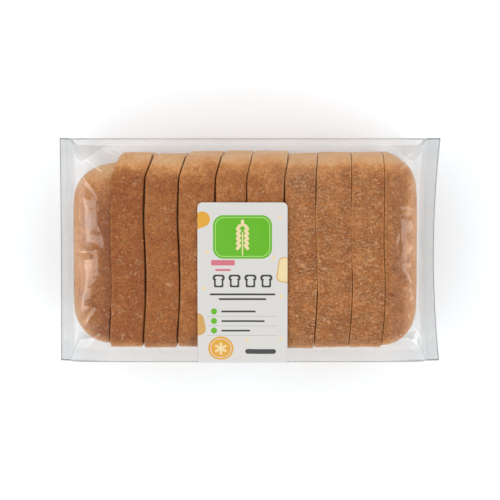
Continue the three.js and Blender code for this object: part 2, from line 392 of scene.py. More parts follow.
def crease(rings):
    """Lifts the film along its folds, gathers the end flaps, and crinkles all of it a little."""
    x, y, z = rings[..., 0], rings[..., 1], rings[..., 2]
    out = np.abs(x)
    on_top = smooth(z, SEAL_HEIGHT - 2, FOLD_HEIGHT) * smooth(inward(x), -1, 3)
    lift = np.zeros_like(x)
    for start, end, half_width, height in FOLD_LINES:
        lift += height * fold_ridge(out, np.abs(y), start, end, half_width)
    pleats = noise(x, y, z, *PLEATS) * (smooth(out, 62, 74) * smooth(inward(x), 0, 3))
    crinkle = noise(x, y, z, *CRINKLE) + 0.5 * noise(x, y, z, *FINE_CRINKLE)
    free = 1 - smooth(z, PACK_HEIGHT - 4, PACK_HEIGHT - 1.5) * 0.6
    slack = SLACK_HEIGHT * noise(x, y, z, *SLACK_WAVES) * smooth(out, 58, 68)
    moved = rings.copy()
    moved[..., 2] += (lift + CRINKLE_HEIGHT * crinkle * free + slack - heel_fall(x, y)) * on_top
    moved[..., 0] += np.sign(x) * (PLEAT_HEIGHT * pleats)
    off_base = smooth(z, 2, 10) * smooth(FOLD_HEIGHT - z, 0.5, 7) * smooth(inward(x), 0, 2)
    hanging = noise(x, y, z + 0.35 * x, *HANGING_FOLDS) + 0.5 * noise(x, y, z - 0.8 * x, *CROSS_FOLDS)
    pull = SIDE_WRINKLE * (hanging - 1) * (0.35 + 0.65 * smooth(out, 50, 72))
    inward_pull = np.sign(y) * (CRINKLE_HEIGHT * 4 * (crinkle - 0.6) + pull)
    moved[..., 1] += inward_pull * off_base * smooth(np.abs(y), 34, 41)
    return moved


stations = film_stations()[:, None]
flat_film = film_rings(stations[:, 0])
film = mesh_from_rings("film", crease(flat_film), BASE_POINTS + EDGE_POINTS // 2 + SIDE_POINTS // 2)
print("film:", len(film.data.polygons), "faces")

# %% [markdown]
# The film's material needs to know a few things of each point. How far it is on a seal, where two sheets are
# one and the film is painted grey as shade. Whether it is an edge, a cut edge or a long fold, where we look
# along the sheet and the film is painted dark as the shade of its outline. And whether it is slack, hanging
# free of the bread, where it is duller and painted grey as shade, or stands over a heel, where it is a little
# hazy and brighter, partly a painted highlight.

# %% What the film's material needs
# A painted highlight: over one spot on the far shoulder the film is hazier and brighter, where glare falls.
PAINTED_GLARE_SPOT, PAINTED_GLARE_SPREAD = (22, 35), (6, 5)  # one more hazy spot, over the far shoulder: its place and spread


def on_rings(values):
    return np.broadcast_to(values, flat_film.shape[:2])


out = np.abs(stations)
across_film = np.abs(flat_film[..., 1])
ring_points = flat_film.shape[1]
place_on_ring = np.minimum(np.arange(ring_points), ring_points - np.arange(ring_points))
top_part = place_on_ring >= BASE_POINTS + EDGE_POINTS + SIDE_POINTS
beside_fold = smooth(across_film, HALF_WIDTH - 0.75, HALF_WIDTH - 0.3)
# On a seal the film is milky and painted grey as shade.
store(film, "seal", on_rings(smooth(-inward(stations), -1.0, 0.6)))
# The film's edges and the cut ends of its seals are painted dark as the shade of its outline; these masks say
# where.
store(film, "edge", beside_fold * top_part * smooth(inward(stations), 0, 2))
seal_end = smooth(out, HALF_LENGTH - 0.45, HALF_LENGTH - 0.2)
store(film, "rim", np.maximum(beside_fold * (1 - smooth(inward(stations), 0, 2)), seal_end))
# Slack film is painted grey as shade: more on the near side than on the far one, and at the corners.
side_slack = np.where(flat_film[..., 1] > 0, 0.2, 0.85) * smooth(across_film, 42.5, 44.5)
corner_slack = 0.45 * on_rings(smooth(out, 64, 73)) * smooth(across_film, 38, 44)
store(film, "slack", np.maximum(side_slack, on_rings(smooth(-inward(stations), -3, -1))) + corner_slack)
# Over the heels and over that shoulder spot the film is hazier and more mirroring, partly a painted highlight.
from_spot = [(flat_film[..., axis] - PAINTED_GLARE_SPOT[axis]) / PAINTED_GLARE_SPREAD[axis] for axis in (0, 1)]
glare_over_shoulder = np.exp(-(from_spot[0] ** 2) - from_spot[1] ** 2) * (flat_film[..., 2] > FOLD_HEIGHT)
store(film, "heel", np.maximum(on_rings(smooth(out, 61, 65)), 1.2 * glare_over_shoulder))

# %% [markdown]
# The loaf is baked in a lidless tin: flat base with tight corners, walls drawn in a little at mid height, and a
# low crown with round shoulders. A section is a superellipse in polar form, squarer below than above. Towards
# the loaf's ends it shrinks along quarter circles, which rounds the heels as the photo shows them.

# %% A section of the loaf
LOAF_ENDS = (-78.6, 74.2)  # a dome on each end reaches a millimetre further
LOAF_HALF_WIDTH = 43.9
SECTION_MIDDLE = 30.0
BASE_GAP = 0.6  # film and air under the loaf
CROWN_GAP = 0.6  # between the crust and the film over it
ABOVE_SQUARENESS = 5.6
BELOW_SQUARENESS = 8.0
WAIST = 0.032  # share of the half width that the walls are drawn in by
END_RADIUS = {"across": 16.5, "above": 9.5, "below": 12.0}  # rounding of the loaf's two ends
AROUND = 420


def end_drop(distance, radius):
    """How much a section has shrunk `distance` from the loaf's end, along a quarter circle of that radius."""
    share = np.clip(1 - distance / radius, 0, 1)
    return radius * (1 - np.sqrt(1 - share**2))


def section(angle, end_distance, narrower, drop, shrink):
    """Radius of the loaf's section at `angle` from +Y, with the waist. `shrink` rounds a slice's rim."""
    ends = {way: end_drop(end_distance, radius) for way, radius in END_RADIUS.items()}
    half = LOAF_HALF_WIDTH - narrower - ends["across"] - shrink
    above = PACK_HEIGHT - CROWN_GAP - SECTION_MIDDLE - drop - ends["above"] - shrink
    below = SECTION_MIDDLE - BASE_GAP - ends["below"] - shrink
    up = np.sin(angle) >= 0
    power = np.where(up, ABOVE_SQUARENESS, BELOW_SQUARENESS)
    tall = np.where(up, above, below)
    flat = (np.abs(np.cos(angle)) / half) ** power + (np.abs(np.sin(angle)) / tall) ** power
    radius = flat ** (-1 / power)
    height = radius * np.sin(angle) / tall
    return radius * (1 - WAIST * np.abs(np.cos(angle)) * (1 - height**2) ** 2)


# %% [markdown]
# The crust's relief is real geometry where it is wider than about a millimetre: slow undulations, the orange
# peel of a moist crust, and on the right half of the loaf the shrink wrinkles that run along it. Finer pores
# are left to the material's bump. All of it moves the skin along the section's radius.

# %% The crust's relief
UNDULATION = ((17, 15, 15), 21)  # pitch and seed of each noise
PEEL, COARSE_PEEL = ((1.5, 1.5, 1.5), 22), ((2.8, 2.8, 2.8), 23)
SHRINK_LINES, SHRINK_PATCHES = ((7, 1.7, 6), 24), ((11, 9, 11), 25)


def crust_relief(x, y, z):
    """Outward move of the crust in millimetres. A shrink wrinkle is a groove where its noise crosses 0."""
    slow = 0.35 * noise(x, y, z, *UNDULATION)
    peel = 0.07 * noise(x, y, z, *PEEL) + 0.05 * noise(x, y, z, *COARSE_PEEL)
    on_top = smooth(z, 52, 60)
    wrinkled = smooth(x, 8, 24) * on_top
    groove = smooth(1 - np.abs(noise(x, y, z, *SHRINK_LINES)) * 2.2, 0, 1)
    wrinkle = -0.34 * groove * (0.55 + 0.45 * noise(x, y, z, *SHRINK_PATCHES))
    return slow * (1 - 0.8 * on_top) * smooth(z, 0, 14) + peel + wrinkle * wrinkled


# %% [markdown]
# The slices were cut by a band knife, so each cut waves a little. They lean too, their tops towards the left.
# A cut face lies half a gap back from its cut. The gap is open between the crusts, narrows just below them, and
# is shut where two slices are pressed together.

# %% The cuts and their gaps
LEAN = 0.028  # of the height below the crown
GAPS = [0.5, 0.98, 0.68, 0.92, 0.5, 0.48, 0.24, 0.17, 0.13]  # width of each cut where it opens
GAP_PLAY = 0.5  # share by which a gap widens and closes along its way
GAP_CLOSES, GAP_DEPTH = 0.85, 2.2  # share by which it closes, and how far under the crust
FAR_GAP_CLOSES, NEATER_CUTS = 0.55, 6  # share by which the first six gaps close towards the far shoulder
GAP_CLOSED = {0: (-26.0, 60.0), 6: (-16.0, 22.0), 7: (-5.0, 22.0)}  # some cuts are pressed shut between these y
CUT_WAVES, GAP_WAVES = ((50, 16, 22), 31), ((50, 13, 30), 32)  # pitch and seed of each noise


def pressed_shut(index, y):
    """1 where two slices are pressed together at their cut, 0 where it opens."""
    if index not in GAP_CLOSED:
        return np.zeros(np.shape(y))
    low, high = GAP_CLOSED[index]
    return smooth(y, low - 4, low + 4) * (1 - smooth(y, high - 4, high + 4))


def cut_face(index, side, y, z, depth):
    """x of a cut at y, z, half its gap back to the given side, `depth` under the crust. Cuts -1 and 9 are the
    loaf's own ends."""
    if index in (-1, len(CUTS)):
        return np.full(np.broadcast(y, z).shape, LOAF_ENDS[0 if index < 0 else 1])
    cut = np.full(np.broadcast(y, z).shape, CUTS[index])
    apart = np.full_like(cut, 40.0 * index)  # so that no two cuts wave alike
    waves = 0.22 * noise(apart, y, z, *CUT_WAVES)
    play = 1 + GAP_PLAY * noise(apart, y, z, *GAP_WAVES)
    play = play * (1 - (FAR_GAP_CLOSES if index < NEATER_CUTS else 0.0) * smooth(y, 22, 36))
    play = play * (1 - GAP_CLOSES * smooth(depth, 0.1, GAP_DEPTH))
    play = play * (1 - 0.8 * pressed_shut(index, y))
    return cut + cut_lean(cut, y) + LEAN * (PACK_HEIGHT - z) + waves + side * GAPS[index] * play / 2


# %% [markdown]
# A slice is one closed skin. Its rings start at the middle of the left face, spread out over the crumb to the
# rim, run across the crust, and close in again over the right face. They lie closest at the rims, which are
# round. A heel has crust on its outer end too, so its outer face is the loaf's own rounded end.

# %% The rings of a slice
CRUST_ROWS = 24
FACE_SHARES = np.array([0.02, 0.12, 0.3, 0.5, 0.68, 0.82, 0.9, 0.94, 0.965, 0.985])
RIM_STEPS = np.array([0.0, 0.1, 0.25, 0.5, 0.8])  # millimetres from a rim to the first rings of the crust


def slice_rows(number):
    """For each ring: its share of the way across the slice and of the radius. Last, the slice's thickness."""
    thick = np.diff(np.concatenate([[LOAF_ENDS[0]], CUTS, [LOAF_ENDS[1]]]))[number]
    first, last = number == 0, number == len(CUTS)
    from_start = np.concatenate([RIM_STEPS, np.linspace(1.2, thick / 2, CRUST_ROWS // 2)])
    rounded = END_RADIUS["across"] * (1 - np.cos(np.linspace(0.02, math.pi / 2, CRUST_ROWS + 6)))
    start = rounded[rounded < thick / 2] if first else from_start
    finish = rounded[rounded < thick / 2] if last else from_start
    inset = np.unique(np.round(np.concatenate([start, thick - finish[::-1]]), 4))
    faces = np.zeros(len(FACE_SHARES))
    share_x = np.concatenate([faces, inset / thick, faces + 1])
    share_r = np.concatenate([FACE_SHARES, np.ones(len(inset)), FACE_SHARES[::-1]])
    return share_x, share_r, thick


# %% [markdown]
# No two slices are quite alike. Each has its own width and drop, its own shift across the pack, and its own
# spread towards the crown. A slice is worked out as one array of rings: the section gives each point's place
# across, the two cut faces give its place along, and the relief and the pores are laid over that.

# %% A slice of the loaf
RIM_ROUND = [0.8, 1.0, 1.0, 1.0, 0.8, 0.8, 0.55, 0.5, 0.45]  # of the two rims at each cut
FREE_CORNER = 3.2  # round of the second slice's far corner, which stands out past the narrow heel
CROWN_RISE = 32.0  # of the crown above the section's middle
SHIFT_Y = [-1.4, 0.0, -0.8, -0.75, -0.7, -0.4, -1.3, -0.8, -0.6, 0.0]
NARROWER = [3.4, 0.4, 0.3, -0.35, -0.6, -0.1, 0.1, 0.2, 0.1, 0.4]
TOP_SPREAD = [0.03, 0.035, 0.02, -0.015, -0.015, 0.01, 0.012, 0.01, 0.02, 0.02]  # how much the top widens
PORES = ((2.4, 2.4, 2.4), 33)  # pitch and seed of the crumb's relief


def make_slice(number):
    """Rings of slice `number`, and the depth under the crust and the tone at each point: the bake, with painted
    highlight and shade.
    """
    share_x, share_r, thick = (part[:, None] if np.ndim(part) else part for part in slice_rows(number))
    angle = np.linspace(0, 2 * math.pi, AROUND, endpoint=False)[None, :]
    first, last = number == 0, number == len(CUTS)
    from_left, from_right = share_x * thick, (1 - share_x) * thick
    far = 10 * END_RADIUS["across"]
    end_distance = np.minimum(from_left if first else far, from_right if last else far)
    rim = np.minimum(far if first else from_left, far if last else from_right)
    y_on_top = CROWN_RISE * np.cos(angle) / np.maximum(np.sin(angle), 0.1)
    y_on_top = np.clip(y_on_top, -LOAF_HALF_WIDTH, LOAF_HALF_WIDTH)
    cuts = [max(number - 1, 0), min(number, len(CUTS) - 1)]
    rounds = [RIM_ROUND[cut] * (1 - 0.9 * pressed_shut(cut, y_on_top)) for cut in cuts]
    rounding = end_drop(rim, np.where(from_left < from_right, *rounds))
    radius = section(angle, end_distance, NARROWER[number], SLICE_DROP[number], rounding)
    above = radius * share_r * np.sin(angle)
    spread = np.where(above > 0, TOP_SPREAD[number], -abs(TOP_SPREAD[number]))
    wider = spread * np.abs(above) / SECTION_MIDDLE
    y = radius * share_r * np.cos(angle) * (1 + wider) + SHIFT_Y[number]
    if number == 1:
        y = y - end_drop(from_left, FREE_CORNER) * smooth(y, 24, 40) * share_r
    z = SECTION_MIDDLE + above
    depth = radius * (1 - share_r)
    left = cut_face(number - 1, 1, y, z, depth)
    right = cut_face(number, -1, y, z, depth)
    x = left + (right - left) * share_x
    relief = crust_relief(x, y, z) * share_r**6
    y = y + relief * np.cos(angle)
    z = z + relief * np.sin(angle)
    dome = 1 - share_r**2
    for is_end, face, outward in ((first, 0, -1), (last, 1, 1)):
        if is_end:
            x = x + np.where(share_x == face, outward * dome, 0)
            depth = np.where(share_x == face, 0, depth)
    pores = 0.25 * np.abs(noise(x, y, z, *PORES)) * smooth(depth, 1, 2.5)
    x = x + np.where(share_x == 0, pores, 0) - np.where(share_x == 1, pores, 0)
    tone = bake_tone(x, y, z, rim, from_right if not last else far, number)
    # Browner with depth on the gap walls: partly the cut edge's colour, partly painted shade in the gaps.
    tone = tone + CRUST_EDGE_AND_GAP_SHADE * smooth(depth, 0.1, 1.0) * smooth(tone, 0.2, 0.7)
    return np.stack([x, y, z], axis=-1), depth, tone


# %% [markdown]
# How dark the crust is depends on where it met the oven's heat. The crown is brown all over, and the shoulders
# fade to gold within about a centimetre, the left heel's over more. The walls that touched the tin stay pale,
# and the base is a little darker again. On top of that the tone holds painted light: a partly painted highlight
# on a slice's rims and a painted shade along its right rim. The tone is worked out at each point, and the
# material turns it into colour later.

# %% The tone of the bake
FRONT_FADE = (-2.5, 3.0)  # millimetres from pale to brown on the front side
FAR_FADE = [(-1.0, 25.0), (2.2, 13.0), (2.4, 9.8)] + 7 * [(2.4, 9.2)]  # and on each slice's far side
END_FADE = {-1: (0.5, 11.5), 1: (0.5, 8.0)}  # the same at the loaf's left and right end
CORNER_FADE = {  # at the rounded corners, by side and end, measured from the round itself
    (-1, -1): (-2.5, 6.0), (-1, 1): (-2.5, 3.0), (1, -1): (0.5, 14.0), (1, 1): (0.5, 9.0),
}
# Browner with depth under the crust: partly the cut edge's own colour, partly painted shade in the gaps between
# slices.
CRUST_EDGE_AND_GAP_SHADE = 0.35  # how much browner the crust's cut edge looks
END_TONE = 0.25  # what is left of the crown's browning at the loaf's two ends
# Painted highlight on a slice's rims, and painted shade along its right rim.
RIM_PALER, RIGHT_RIM_SHADE = 0.22, 0.16
CROWN_FROM, CROWN_TO = 50, 59  # heights between which the wall turns into the crown
BAKE_PATCHES = ((9, 7, 9), 41)  # pitch and seed of the noise that makes the fading uneven
PATCHES_MOVE = 1.6  # how far in millimetres it moves an edge of the browning
SLICE_TONE = [0.15, 0.18, 0.07, -0.02, -0.11, -0.08, -0.06, -0.05, -0.1, -0.06]


def bake_tone(x, y, z, rim, from_right, number):
    """0 where the crust stayed pale gold, 1 where it is brown. It is paler on a slice's own rims, partly a
    painted highlight, and darker along its right rim, a painted shade as if the light came from the left."""
    patchy = noise(x, y, z, *BAKE_PATCHES)
    moved = PATCHES_MOVE * patchy
    on_crown = crown = smooth(z, CROWN_FROM, CROWN_TO)
    half = LOAF_HALF_WIDTH - NARROWER[number]
    from_side, from_end = {}, {}
    for side in (-1, 1):
        from_side[side] = half - side * (y - SHIFT_Y[number])
        from_end[side] = side * (LOAF_ENDS[side > 0] - x)
        shoulder = FAR_FADE[number] if side > 0 else FRONT_FADE
        crown = crown * smooth(from_side[side] + moved, *shoulder)
        at_end = smooth(from_end[side] + moved, *END_FADE[side])
        crown = crown * (END_TONE + (1 - END_TONE) * at_end)
    for (side, end), fade in CORNER_FADE.items():
        past = [np.maximum(END_RADIUS["across"] - near, 0) for near in (from_side[side], from_end[end])]
        at_corner = smooth(END_RADIUS["across"] - np.hypot(*past) + moved, *fade)
        crown = np.minimum(crown, on_crown * (END_TONE + (1 - END_TONE) * at_corner))
    wall = 0.16 + 0.07 * patchy + 0.25 * (1 - smooth(z, 1, 9))
    # Paler rims: partly the lighter cut edge, partly a painted highlight.
    rim_pale_and_highlight = RIM_PALER * (1 - smooth(rim, 0.3, 1.0))
    # Painted shade along the right rim, as if the light came from the left.
    right_rim_shade = RIGHT_RIM_SHADE * (1 - smooth(from_right, 0.8, 5.0)) * crown
    tone = wall + (1 - wall + SLICE_TONE[number]) * crown + 0.07 * patchy - rim_pale_and_highlight + right_rim_shade
    return np.clip(tone, 0, 1.3)


# %% [markdown]
# With the tone known, the ten slices can be made. Each keeps two numbers at every point for its material: the
# depth under the crust, which tells crumb from crust, and the tone: the bake, with some painted highlight and
# shade.

# %% The ten slices
slices = []
for number in range(len(CUTS) + 1):
    rings, depth, tone = make_slice(number)
    piece = mesh_from_rings(f"slice_{number + 1:02d}", rings)
    store(piece, "depth", depth)
    store(piece, "tone", tone)
    slices.append(piece)
print("slices:", len(slices), "with", sum(len(piece.data.polygons) for piece in slices), "faces")

# %% [markdown]
# The label is a satin self-adhesive strip. It starts on the crown, lies flat over the slices, turns over the
# front fold of the film and ends half-way down that side. Its line is the film's own outline, walked by length.

# %% The label's line
LABEL_BACK_Y = 21.9
LABEL_FOOT_Z = 17.0
LABEL_CORNER = 2.2
LABEL_STEP = 0.5


def label_line():
    """The film's outline in the middle of the pack as points (y, z), from the label's back edge down."""
    y = LABEL_BACK_Y - (LABEL_BACK_Y + HALF_WIDTH) * np.sin(np.linspace(0, math.pi / 2, 400))
    z = FOLD_HEIGHT + crown_height(np.abs(y) / HALF_WIDTH)
    foot_share = (LABEL_FOOT_Z - BASE_EDGE) / (FOLD_HEIGHT - BASE_EDGE)
    foot_y = -(HALF_BASE + (HALF_WIDTH - HALF_BASE) * foot_share)
    return np.append(y, foot_y), np.append(z, LABEL_FOOT_Z)


line_y, line_z = label_line()
walked = np.concatenate([[0], np.cumsum(np.hypot(np.diff(line_y), np.diff(line_z)))])
label_run = float(walked[-1])
corner = LABEL_CORNER * (1 - np.cos(np.linspace(0, math.pi / 2, 9)))
between = np.arange(LABEL_CORNER, label_run - LABEL_CORNER, LABEL_STEP)
marks = np.unique(np.round(np.concatenate([corner, between, label_run - corner]), 3))
print(f"label: {label_run:.1f} mm long")


# %% [markdown]
# The strip has a thickness, and its corners are rounded by drawing its width in. Since the line was walked by
# length, the print can be laid out in millimetres: across the label, and along it from its back edge. Both go
# into a UV map.

# %% The label's strip
LABEL_WIDTH = 39.7
LABEL_MIDDLE_X = -3.3
LABEL_THICKNESS = 0.16
LABEL_LIFT = 0.22  # above the film
LABEL_COLUMNS = 60
LABEL_SAG = 0.3  # share of the dip over a cut that the label follows
SOFTNESS = ((8, 8, 8), 51)  # pitch and seed of its slight unevenness


def on_line(mark):
    return np.interp(mark, walked, line_y), np.interp(mark, walked, line_z)


def label_rings():
    """Rings of the strip, and each point's place on the label in millimetres across and along."""
    y, z = on_line(marks)
    (y0, z0), (y1, z1) = on_line(marks - 0.8), on_line(marks + 0.8)
    length = np.hypot(y1 - y0, z1 - z0)
    out_y, out_z = (z1 - z0) / length, -(y1 - y0) / length
    from_edge = np.minimum(np.minimum(marks, label_run - marks), LABEL_CORNER)
    inset = LABEL_CORNER * (1 - np.sqrt(1 - (1 - from_edge / LABEL_CORNER) ** 2))
    half = (LABEL_WIDTH / 2 - inset)[:, None]
    across = np.linspace(-1, 1, LABEL_COLUMNS)
    u = np.hstack([half * across, half * across[::-1]])
    level = np.repeat([LABEL_LIFT, LABEL_LIFT + LABEL_THICKNESS], LABEL_COLUMNS)
    x = u + LABEL_MIDDLE_X
    y, z, out_y, out_z = (values[:, None] for values in (y, z, out_y, out_z))
    sag = LABEL_SAG * cut_dip(x - cut_lean(x, y), 0.6) * smooth(z, FOLD_HEIGHT, PACK_HEIGHT - 2)
    move = level - np.minimum(sag, LABEL_LIFT + 0.1) + 0.05 * noise(x, y, z, *SOFTNESS)
    points = np.stack([x, y + out_y * move, z + out_z * move], axis=-1)
    return points, u, np.broadcast_to(marks[:, None], u.shape)


points, label_u, label_v = label_rings()
label_piece = mesh_from_rings("label_strip", points, 0)
corners = np.empty(len(label_piece.data.loops), dtype=np.int32)
label_piece.data.loops.foreach_get("vertex_index", corners)
print_map = label_piece.data.uv_layers.new(name="print")
uv = np.stack([label_u.ravel(), label_v.ravel()], axis=1)[corners]
print_map.data.foreach_set("uv", uv.astype(np.float32).ravel())

# %% [markdown]
# Materials are node trees. A few short helpers keep their making readable: one adds a node and fills its
# sockets, and sums, products, ramps and blends take numbers and sockets alike. They find the tree that they
# work in from a socket that they are given.

# %% Node helpers
def fill(socket, value):
    """Wires the value to the socket, or sets it there when it is a plain number or colour."""
    if isinstance(value, bpy.types.NodeSocket):
        socket.id_data.links.new(value, socket)
    else:
        socket.default_value = value


def add(tree, kind, values=None, **settings):
    """A node of that kind, with its settings, and with the sockets in `values` filled by name or number."""
    node = tree.nodes.new(kind)
    for key, value in settings.items():
        setattr(node, key, value)
    for socket, value in (values or {}).items():
        fill(node.inputs[socket], value)
    return node


def maths(operation, *values, clamp=False):
    """One operation over the values, from the first to the last. A single value works too."""
    tree = next(value.id_data for value in values if isinstance(value, bpy.types.NodeSocket))
    result = values[0]
    for value in values[1:] or (0.0,):
        node = add(tree, "ShaderNodeMath", {0: result, 1: value}, operation=operation, use_clamp=clamp)
        result = node.outputs[0]
    return result


def plus(*terms):
    return maths("ADD", *terms)


def times(*factors):
    return maths("MULTIPLY", *factors)


def ramp(value, low, high, to_low=0.0, to_high=1.0):
    """The value taken from low..high to to_low..to_high, clamped."""
    values = {"Value": value, "From Min": low, "From Max": high, "To Min": to_low, "To Max": to_high}
    return add(value.id_data, "ShaderNodeMapRange", values).outputs["Result"]


def blend(share, first, second):
    """One colour over another, by a share from 0 to 1."""
    node = add(share.id_data, "ShaderNodeMix", {0: share}, data_type="RGBA")
    for socket, colour in ((node.inputs[6], first), (node.inputs[7], second)):
        fill(socket, (*colour, 1.0) if isinstance(colour, tuple) else colour)
    return node.outputs[2]


def ripple(place, scale, detail=2.0, distortion=0.0):
    """Smooth noise from 0 to 1, with `scale` lumps to the metre."""
    values = {"Vector": place, "Scale": scale, "Detail": detail, "Distortion": distortion}
    return add(place.id_data, "ShaderNodeTexNoise", values).outputs[0]


def stretch(place, *scale):
    return add(place.id_data, "ShaderNodeMapping", {"Vector": place, "Scale": scale}).outputs[0]


def bump(height, strength, distance):
    """The normal of a surface that the height bends by up to `distance` metres."""
    values = {"Strength": strength, "Distance": distance, "Height": height}
    return add(height.id_data, "ShaderNodeBump", values).outputs[0]


# %% [markdown]
# Every material here is one Principled BSDF, with its sockets fed by name. What varies over a piece comes from
# the piece itself: its own coordinates, or the numbers that its mesh keeps at each point.

# %% Starting a material
def object_place(tree):
    return add(tree, "ShaderNodeTexCoord").outputs["Object"]


def stored(tree, name):
    """The number that the mesh keeps at each point under that name."""
    return add(tree, "ShaderNodeAttribute", attribute_name=name).outputs["Fac"]


def feed(shader, **values):
    """Fills the shader's sockets by name, with _ for a blank."""
    for key, value in values.items():
        fill(shader.inputs[key.replace("_", " ")], value)


def material(name, **constants):
    """A new material, its tree and its Principled BSDF, with the constants set on the shader's own sockets."""
    made = bpy.data.materials.new(name)
    made.use_nodes = True
    shader = made.node_tree.nodes["Principled BSDF"]
    feed(shader, **constants)
    return made, made.node_tree, shader


def dress(piece, made):
    piece.data.materials.clear()
    piece.data.materials.append(made)


# %% [markdown]
# Two effects serve more than one material. "Mottle" is broad uneven colour, as baked dough and old print have.
# "Specks" scatters small round spots: blisters on the crust, pores in the crumb. Both are groups that put out a
# mask, and each material sets its own size and amount.

# %% Shared groups: mottle and specks
def group_tree(name, inputs, outputs):
    """A shader node group with float, vector or colour sockets, given as {name: kind}."""
    tree = bpy.data.node_groups.new(name, "ShaderNodeTree")
    for sockets, way in ((inputs, "INPUT"), (outputs, "OUTPUT")):
        for label, kind in sockets.items():
            tree.interface.new_socket(name=label, in_out=way, socket_type="NodeSocket" + kind)
    return tree, tree.nodes.new("NodeGroupInput").outputs, tree.nodes.new("NodeGroupOutput").inputs


def mottle_group():
    inputs = {"Place": "Vector", "Size": "Float", "Detail": "Float"}
    tree, given, result = group_tree("mottle", inputs, {"Mask": "Float"})
    lumps = ripple(given["Place"], maths("DIVIDE", 1.0, given["Size"]), given["Detail"])
    fill(result["Mask"], ramp(lumps, 0.3, 0.7))
    return tree


def specks_group():
    inputs = {"Place": "Vector", "Pitch": "Float", "Radius": "Float", "Share": "Float"}
    tree, given, result = group_tree("specks", inputs, {"Mask": "Float"})
    scale = maths("DIVIDE", 1.0, given["Pitch"])
    cell = add(tree, "ShaderNodeTexVoronoi", {"Vector": given["Place"], "Scale": scale}).outputs
    inside = maths("LESS_THAN", cell["Distance"], given["Radius"])
    edge = maths("DIVIDE", maths("SUBTRACT", given["Radius"], cell["Distance"]), given["Radius"])
    lot = add(tree, "ShaderNodeSeparateColor", {0: cell["Color"]}).outputs[0]
    chosen = maths("LESS_THAN", lot, given["Share"])
    fill(result["Mask"], times(inside, chosen, ramp(edge, 0.0, 0.5)))
    return tree


mottle, specks = mottle_group(), specks_group()


def use(group, place, **values):
    """Places a node group in the tree of `place`, its other sockets filled by name, with _ for a blank."""
    values = {key.replace("_", " "): value for key, value in values.items()}
    return add(place.id_data, "ShaderNodeGroup", {"Place": place, **values}, node_tree=group).outputs


def cloud(place, size, detail=3.0):
    return use(mottle, place, Size=size, Detail=detail)["Mask"]


def spots(place, pitch, radius, share):
    """Round spots, one in each cell of that pitch in a share of the cells, `radius` as a share of the pitch."""
    return use(specks, place, Pitch=pitch, Radius=radius, Share=share)["Mask"]


# %% [markdown]
# The crown has thin pale lines along the crust's shrink wrinkles, a painted highlight on their ridges, which
# the bump raises too. They are drawn where a stretched noise crosses its middle value, over the right half of
# the loaf and in sparse patches elsewhere.

# %% The wrinkles of the crown
def wrinkle_highlight_lines(place, tone, broad):
    """1 along the wrinkles, where they are raised and painted as highlights, 0 beside them."""
    folds = ripple(stretch(place, 0.55, 1.0, 1.0), 560.0, distortion=1.2)
    along = add(place.id_data, "ShaderNodeSeparateXYZ", {0: place}).outputs["X"]
    right_half = times(ramp(along, 0.004, 0.024), ramp(along, 0.055, 0.068, 1.0, 0.3))
    wrinkled = maths("MAXIMUM", right_half, ramp(ripple(place, 330.0, 1.0), 0.56, 0.66, 0.0, 0.8))
    wrinkled = times(wrinkled, times(ramp(tone, 0.5, 0.9), ramp(broad, 0.2, 0.8, 0.5, 1.15)))
    from_line = maths("ABSOLUTE", maths("SUBTRACT", folds, 0.5))
    return times(ramp(from_line, 0.0, 0.075, 1.0, 0.0), wrinkled)


# %% [markdown]
# Bread is one material with two faces. Outside it is crust: its colour runs from gold to brown with the stored
# tone, broken up by mottle, by pale specks that are partly blisters and partly painted glints, and by painted
# highlights along the wrinkles, and its bump has the fine peel of a moist crust. From about two millimetres
# under the crust it is crumb: cream, matte, with pores. The stored depth says which.

# %% The bread
CRUST_PALE = (0.555, 0.335, 0.17)
CRUST_GOLD = (0.51, 0.225, 0.075)
CRUST_BROWN = (0.31, 0.110, 0.027)
CRUST_DARK = (0.24, 0.070, 0.016)
BLISTER_AND_GLINT = (0.62, 0.335, 0.155)
WRINKLE_HIGHLIGHT = (0.60, 0.335, 0.175)
CRUMB = (0.80, 0.66, 0.44)
PORE = (0.62, 0.45, 0.26)
BROAD, MIDDLING, FINE, GRAIN = 0.009, 0.0034, 0.0012, 0.0009  # sizes of the crust's mottle, in metres
CRUMB_FROM, CRUMB_TO = 1.3, 2.4  # millimetres under the crust


